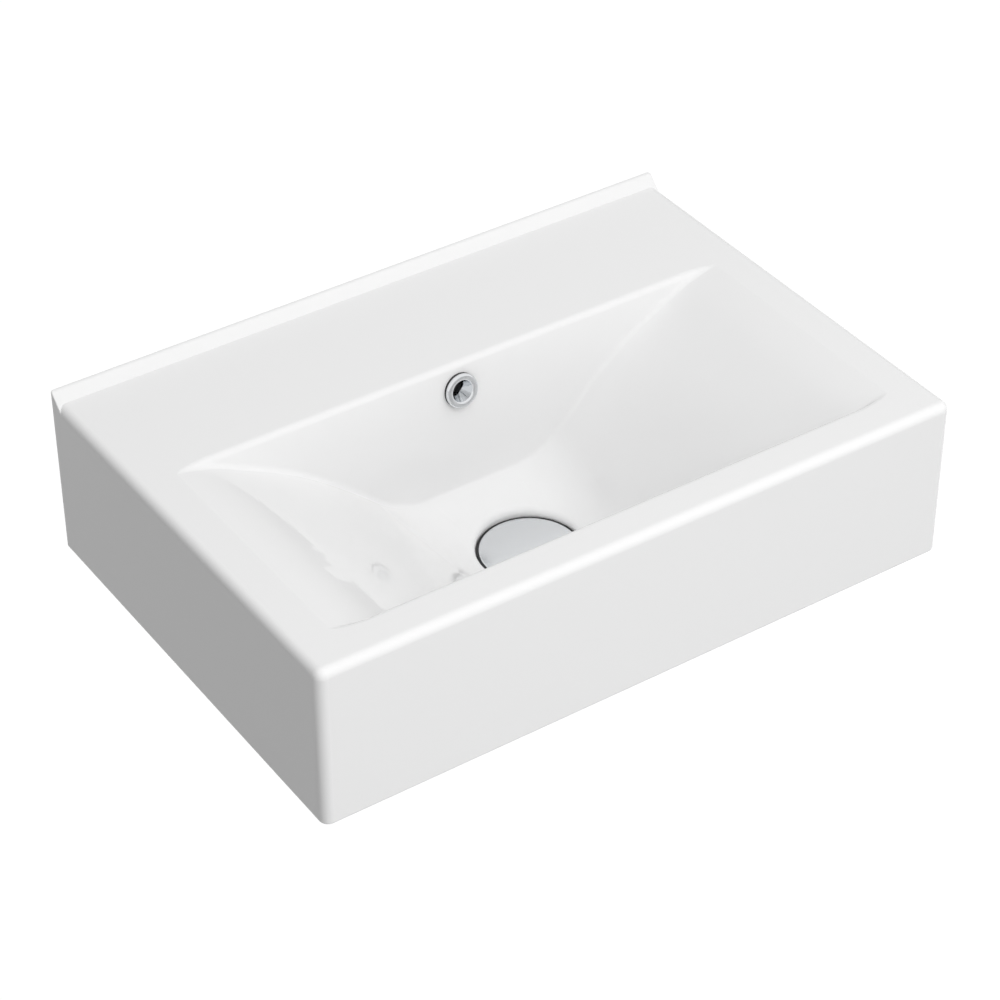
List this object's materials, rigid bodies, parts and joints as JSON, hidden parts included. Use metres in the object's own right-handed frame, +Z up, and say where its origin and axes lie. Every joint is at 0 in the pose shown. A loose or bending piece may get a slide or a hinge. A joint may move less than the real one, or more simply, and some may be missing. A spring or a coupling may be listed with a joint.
{
  "type": "washbasin",
  "caption": "Rectangular wall-hung ceramic washbasin with a sloping bowl, rear deck and upstand, overflow ring and a round push-to-open waste.",
  "frame": {"origin": "on the wall plane, midway between the two wall bolt holes", "axes": "+X to the right seen from the front, +Y into the wall, +Z up"},
  "size_m": [0.5, 0.345, 0.1954],
  "materials": {
    "glazed_ceramic": "glossy white glaze",
    "chrome": "polished chrome plating",
    "rubber": "matt black rubber",
    "nylon": "moulded white plastic",
    "brass": "turned brass",
    "steel": "drawn stainless steel"
  },
  "bodies": {
    "basin": {"basin_body": "glazed_ceramic", "overflow_ring": "chrome", "overflow_gasket": "rubber", "waste_body": "chrome", "waste_top_gasket": "rubber", "waste_bottom_washer": "rubber", "waste_slip_washer": "nylon", "waste_backnut": "chrome", "cartridge_housing": "brass", "cartridge_guide": "nylon", "cartridge_washer": "rubber", "cartridge_spring": "steel"},
    "plug": {"waste_cap": "chrome", "cap_seal": "rubber", "cap_carrier": "nylon", "cap_stem": "steel", "plunger": "nylon"},
    "cam": {"cam_ring": "nylon"}
  },
  "joints": [
    {"name": "cap_lift", "type": "slide", "parent": "basin", "child": "plug", "axis": [0, 0, 1], "range_m": [0, 0.009], "deforming": ["cartridge_spring"]},
    {"name": "cam_turn", "type": "hinge", "parent": "plug", "child": "cam", "pos_m": [0, -0.208, -0.0915], "axis": [0, 0, 1], "range_deg": [0, 45]}
  ],
  "couplings": [
    {"joint": "cam_turn", "follows": "cap_lift", "rad_per_m": 87.26}
  ]
}
